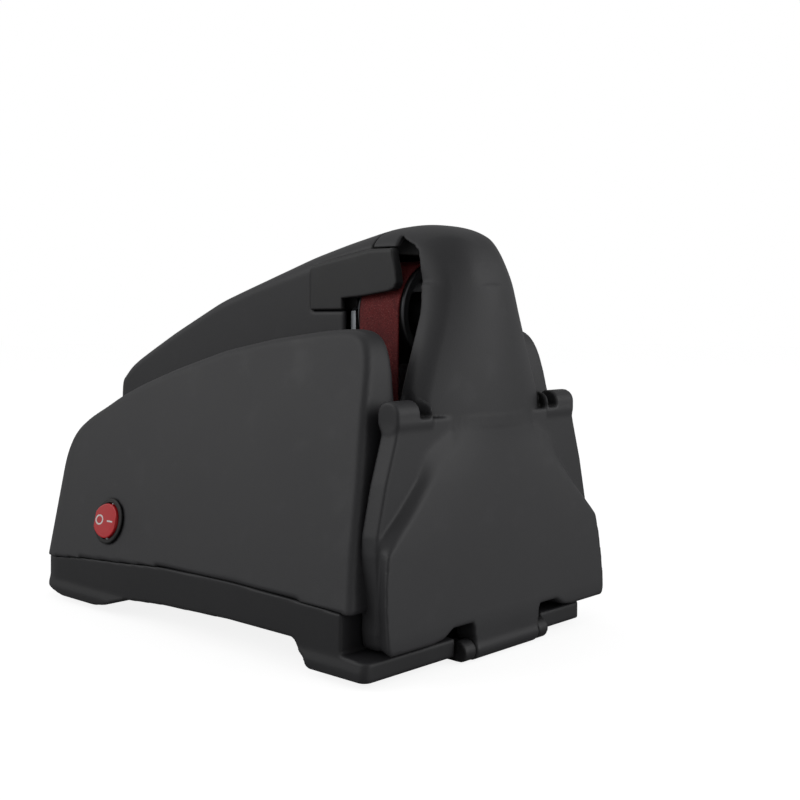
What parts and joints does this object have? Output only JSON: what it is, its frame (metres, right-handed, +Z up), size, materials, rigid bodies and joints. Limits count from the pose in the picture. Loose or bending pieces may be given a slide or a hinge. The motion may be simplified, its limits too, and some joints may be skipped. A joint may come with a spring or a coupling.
{
  "type": "electric knife sharpener",
  "caption": "Electric belt knife sharpener with guide slots beside a motor-driven abrasive belt, hinged front door and rocker switch.",
  "frame": {"origin": "centre of the footprint, on the surface that the sharpener stands on", "axes": "+X towards the front door, -Y towards the side with the switch, +Z up"},
  "size_m": [0.2626, 0.171, 0.1905],
  "materials": {
    "shell": "fine moulded grain, dark charcoal grey",
    "tray": "fine moulded grain, darker grey",
    "door": "fine moulded grain, charcoal grey",
    "guard": "fine moulded grain, dark grey",
    "dark_plastic": "smooth black plastic",
    "red_plastic": "smooth red switch plastic",
    "belt": "coated abrasive grain, red-brown",
    "rubber": "matte black rubber",
    "roller": "turned",
    "steel": "ground",
    "zinc": "zinc plated",
    "copper": "copper segments",
    "grey_plastic": "smooth grey plastic",
    "board": "green circuit board",
    "iron": "dark steel"
  },
  "bodies": {
    "casing": {"upper_housing": "shell", "base_tray": "tray", "belt_guard": "guard", "rubber_foot_1": "rubber", "rubber_foot_2": "rubber", "rubber_foot_3": "rubber", "rubber_foot_4": "rubber", "abrasive_belt": "belt", "base_screw_1": "zinc", "base_screw_2": "zinc", "base_screw_3": "zinc", "base_screw_4": "zinc", "roller_frame": "zinc", "frame_screw_1": "zinc", "frame_screw_2": "zinc", "motor_front_cap": "zinc", "motor_screw_1": "zinc", "motor_screw_2": "zinc", "hinge_pin": "steel", "tension_spring": "steel", "motor_front_bearing": "steel", "motor_rear_bearing": "steel", "rocker_pin": "steel", "inlet_pin_1": "steel", "inlet_pin_2": "steel", "motor_can": "iron", "motor_magnet_lower": "iron", "motor_magnet_upper": "iron", "brush_near": "dark_plastic", "brush_far": "dark_plastic", "motor_rear_cap": "dark_plastic", "switch_bezel": "dark_plastic", "power_inlet": "dark_plastic", "capacitor": "dark_plastic", "switch_lead": "dark_plastic", "motor_lead": "dark_plastic", "terminal_block": "grey_plastic", "control_board": "board"},
    "door": {"front_door": "door"},
    "rocker": {"switch_rocker": "red_plastic"},
    "drive": {"motor_shaft": "steel", "drive_pulley": "roller", "pulley_nut": "zinc", "armature_core": "iron", "commutator": "copper", "cooling_fan": "grey_plastic"},
    "tensioner": {"tension_slide": "zinc", "top_axle": "steel", "top_clip": "steel"},
    "top_belt_roller": {"top_roller": "roller", "top_roller_bearing": "steel"}
  },
  "joints": [
    {"name": "door_hinge", "type": "hinge", "parent": "casing", "child": "door", "pos_m": [0.1263, 0, 0.0051], "axis": [0, 1, 0], "range_deg": [0, 80]},
    {"name": "switch_tip", "type": "hinge", "parent": "casing", "child": "rocker", "pos_m": [-0.0589, -0.07967, 0.04609], "axis": [0, 0.227, 0.9739], "range_deg": [-12, 0]},
    {"name": "motor_turn", "type": "hinge", "parent": "casing", "child": "drive", "pos_m": [0, 0, 0.065], "axis": [1, 0, 0], "continuous": true},
    {"name": "tension_travel", "type": "slide", "parent": "casing", "child": "tensioner", "axis": [0, 0, -1], "range_m": [0, 0.0035], "stiffness_N_per_m": 900, "springref_m": -0.006, "deforming": ["tension_spring"]},
    {"name": "top_roller_turn", "type": "hinge", "parent": "tensioner", "child": "top_belt_roller", "pos_m": [0.0744, 0, 0.1494], "axis": [1, 0, 0], "continuous": true}
  ],
  "couplings": [
    {"joint": "top_roller_turn", "follows": "motor_turn", "ratio": 1.0435}
  ]
}
